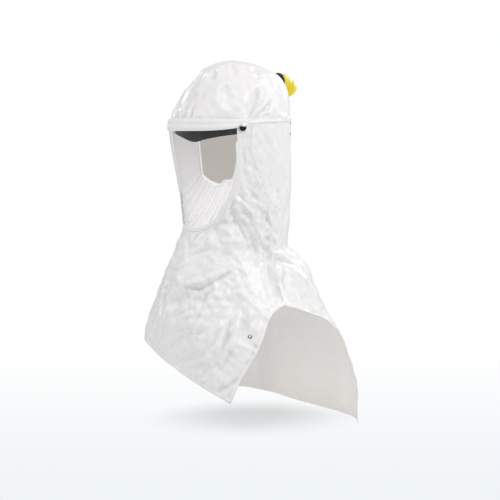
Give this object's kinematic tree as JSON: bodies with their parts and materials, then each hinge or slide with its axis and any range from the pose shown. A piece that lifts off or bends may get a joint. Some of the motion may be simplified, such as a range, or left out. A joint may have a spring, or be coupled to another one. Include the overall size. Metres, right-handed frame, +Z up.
{
  "type": "respirator hood",
  "caption": "White cloth air-fed hood with a clear wrap-round face window, a black brow band inside, a yellow air elbow behind and a bib hanging front and back with open shoulder arches.",
  "frame": {"origin": "the middle of the wearer's head at the height of the temple snaps", "axes": "+Z up; the window faces -Y; +X is the wearer's left"},
  "size_m": [0.3956, 0.4303, 0.7791],
  "materials": {
    "cloth": "crinkled, coated, half gloss",
    "trim": "smooth coated tape",
    "lining": "thin, gathered",
    "window": "clear sheet, gloss",
    "black_foam": "satin black",
    "chrome": "polished",
    "black_plastic": "moulded, satin",
    "yellow_plastic": "moulded, half gloss"
  },
  "bodies": {
    "root": {"crown": "cloth", "back_panel": "cloth", "front_panel": "cloth", "brow_band": "trim", "visor": "window", "visor_binding": "trim", "face_seal": "lining", "seal_roll": "trim", "sweatband": "black_foam", "temple_snap_left": "chrome", "temple_snap_right": "chrome", "back_stud_upper": "black_plastic", "back_stud_lower": "black_plastic", "inlet_boss": "black_plastic", "inlet_elbow": "yellow_plastic", "eyelet": "chrome"}
  },
  "joints": []
}
